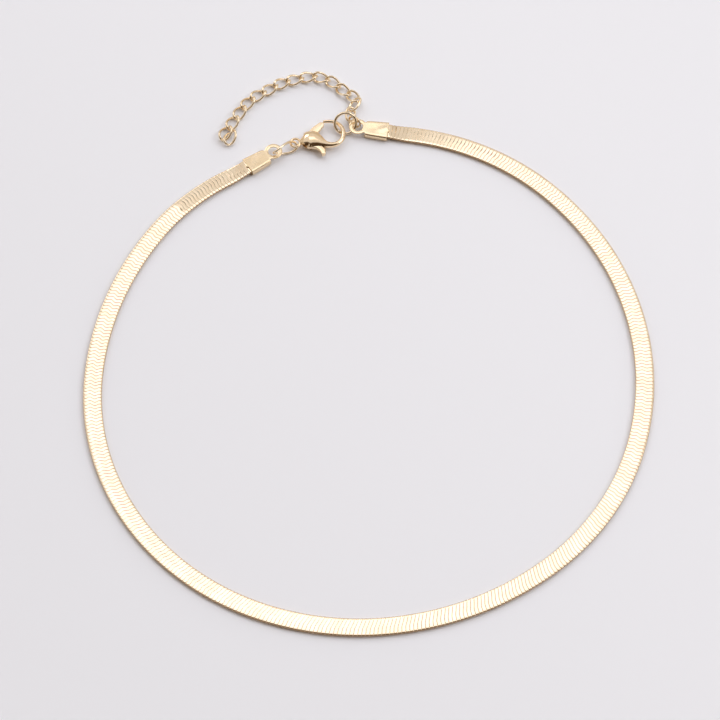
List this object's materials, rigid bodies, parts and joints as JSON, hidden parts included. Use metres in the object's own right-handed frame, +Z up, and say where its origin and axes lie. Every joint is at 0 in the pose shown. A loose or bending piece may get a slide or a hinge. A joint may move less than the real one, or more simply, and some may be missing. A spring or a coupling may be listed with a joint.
{
  "type": "snake chain necklace",
  "caption": "Flat snake chain necklace with folded end caps, a lobster clasp on a large jump ring and a curb-link extender, lying closed on a surface.",
  "frame": {"origin": "centre of the bounding box, on the surface that the necklace lies on", "axes": "+Z up from that surface, +Y from the front of the neck towards the clasp and the extender, +X towards the end cap with the jump ring"},
  "size_m": [0.1208, 0.1375, 0.004],
  "materials": {
    "band": "gold plated, brushed by its fine scales",
    "plate": "satin gold plate",
    "cast": "polished gold plate",
    "lever": "satin gold plate",
    "wire": "polished gold plate",
    "pin": "bright"
  },
  "bodies": {
    "necklace": {"flat_chain": "band", "crimp_left": "plate", "crimp_right": "plate", "clasp_link": "wire", "clasp_body": "cast", "clasp_pin": "pin", "jump_ring": "wire", "extender_link_01": "wire", "extender_link_02": "wire", "extender_link_03": "wire", "extender_link_04": "wire", "extender_link_05": "wire", "extender_link_06": "wire", "extender_link_07": "wire", "extender_link_08": "wire", "extender_link_09": "wire", "extender_link_10": "wire", "extender_link_11": "wire", "extender_link_12": "wire", "extender_link_13": "wire", "extender_link_14": "wire", "extender_link_15": "wire", "extender_link_16": "wire", "extender_link_17": "wire"},
    "lever": {"clasp_lever": "lever"}
  },
  "joints": [
    {"name": "lever_hinge", "type": "hinge", "parent": "necklace", "child": "lever", "pos_m": [-0.0128, 0.05073, 0.00132], "axis": [0, 0, -1], "range_deg": [0, 22], "stiffness_Nm_per_rad": 0.002, "springref_deg": -17.19}
  ]
}
